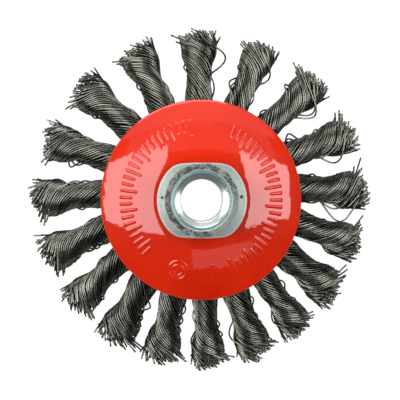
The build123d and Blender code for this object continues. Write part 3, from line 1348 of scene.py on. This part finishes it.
@dataclass(frozen=True)
class Softbox:
    """A plain rectangular lamp, in metres, which looks white at a radiance of 1.

    An aimed one faces the brush, and any other the floor straight below it.
    """

    name: str
    centre: Place
    size: Pair
    radiance: float
    aimed: bool = False

    def build(self) -> None:
        """Hangs the lamp level, facing down, or aims it at the brush."""
        data = bpy.data.lights.new(self.name, "AREA")
        data.shape = "RECTANGLE"
        data.size, data.size_y = self.size
        data.energy = self.radiance * np.pi * self.size[0] * self.size[1]
        lamp = bpy.data.objects.new(self.name, data)
        lamp.location = self.centre
        if self.aimed:
            lamp.rotation_mode = "QUATERNION"
            lamp.rotation_quaternion = Vector(self.centre).to_track_quat("Z", "Y")
        bpy.context.scene.collection.objects.link(lamp)


@dataclass(frozen=True)
class Studio:
    """White floor, soft lamps on both sides and a camera straight above.

    The floor is in millimetres, as a piece is, and the lamps and camera are in metres.
    """

    floor_z: float = -36.7
    floor_half: float = 900.0
    floor_colour: Colour = (0.14, 0.14, 0.14)
    sky_colour: Colour = (1.0, 1.0, 1.0)
    fill: float = 0.024
    camera_place: Place = (-0.0118, 0.0073, 0.70)
    camera_target: Place = (-0.00058, 0.00015, 0.0)
    view_width: float = 0.1157
    sensor_width: float = 36.0
    boxes: tuple[Softbox, ...] = (
        Softbox("softbox_left", (-0.73, 0.09, 0.70), (0.94, 0.74), 4.4),
        Softbox("softbox_right", (0.69, 0.09, 0.70), (0.70, 0.62), 4.8),
        Softbox("softbox_far", (-0.25, 1.25, 0.42), (1.3, 0.5), 3.6, True),
        Softbox("softbox_back", (0.0, 1.10, 0.70), (2.0, 0.7), 0.55),
        Softbox("softbox_top", (0.0, 0.56, 0.70), (1.6, 0.38), 0.32),
        Softbox("softbox_front", (0.21, -0.49, 0.70), (0.54, 0.26), 0.58),
    )

    def floor(self) -> None:
        """Lays the floor.

        Camera, mirrored and refracted rays see it as white, with its shadow, and it is
        clear from below.
        """
        half, z = self.floor_half, self.floor_z
        corners = np.array([(-half, -half, z), (half, -half, z), (half, half, z), (-half, half, z)])
        skin = Skin(corners, np.arange(4), np.array([4]), np.zeros((4, 2)))
        material = bpy.data.materials.new("floor_white")
        tree = Tree(material)
        rays = tree.node("LightPath").outputs
        names = ("Is Camera Ray", "Is Glossy Ray", "Is Transmission Ray")
        seen = tree.fold("MAXIMUM", *(rays[name] for name in names))
        glow = tree.node("Emission", {"Strength": seen}).outputs[0]
        plain = tree.node("BsdfDiffuse", {"Color": self.floor_colour}).outputs[0]
        white = tree.node("AddShader", {0: plain, 1: glow}).outputs[0]
        below = tree.node("NewGeometry").outputs["Backfacing"]
        clear = tree.node("BsdfTransparent").outputs[0]
        both = tree.node("MixShader", {0: below, 1: white, 2: clear}).outputs[0]
        tree.node("OutputMaterial", {"Surface": both})
        skin.piece("floor", material)

    def world(self) -> None:
        """Makes a dim even fill that camera and refracted rays see as white."""
        world = bpy.data.worlds.new("studio")
        bpy.context.scene.world = world
        tree = Tree(world)
        rays = tree.node("LightPath").outputs
        seen = tree.math("MAXIMUM", rays["Is Camera Ray"], rays["Is Transmission Ray"])
        strength = tree.span(seen, 0.0, 1.0, self.fill, 1.0)
        back = tree.node("Background", {"Color": self.sky_colour, "Strength": strength})
        tree.node("OutputWorld", {"Surface": back.outputs[0]})

    def camera(self) -> None:
        """Sets the camera above the brush, aimed at the nut, with the picture's top at +Y."""
        data = bpy.data.cameras.new("camera")
        place, target = Vector(self.camera_place), Vector(self.camera_target)
        data.sensor_width = self.sensor_width
        data.lens = self.sensor_width * (place - target).length / self.view_width
        camera = bpy.data.objects.new("camera", data)
        back = (place - target).normalized()
        right = Vector((0, 1, 0)).cross(back).normalized()
        axes = Matrix((right, back.cross(right), back)).transposed()
        camera.matrix_world = Matrix.LocRotScale(place, axes, None)
        bpy.context.scene.collection.objects.link(camera)
        bpy.context.scene.camera = camera

    def build(self) -> None:
        """Sets up the floor, the lamps, the fill and the camera."""
        self.floor()
        self.world()
        for box in self.boxes:
            box.build()
        self.camera()
        bpy.context.scene.view_settings.view_transform = "Standard"


def main() -> None:
    """Builds every sub-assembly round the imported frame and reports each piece."""
    logging.basicConfig(level=logging.INFO, format="%(name)s %(message)s")
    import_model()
    Studio().build()
    wire = WireFinish().material()
    row = KnotRow()
    for index in range(row.count):
        WireKnot(index + 1, row.seat(index), STRAYS.get(index + 1, ())).build(wire)
    CoverPlate().build(PaintFinish().material())
    HubNut().build(ZincFinish().material())
    sheet = SheetFinish().material()
    CARRIER.build(sheet)
    BACKING.build(sheet)


if __name__ == "__main__":
    main()
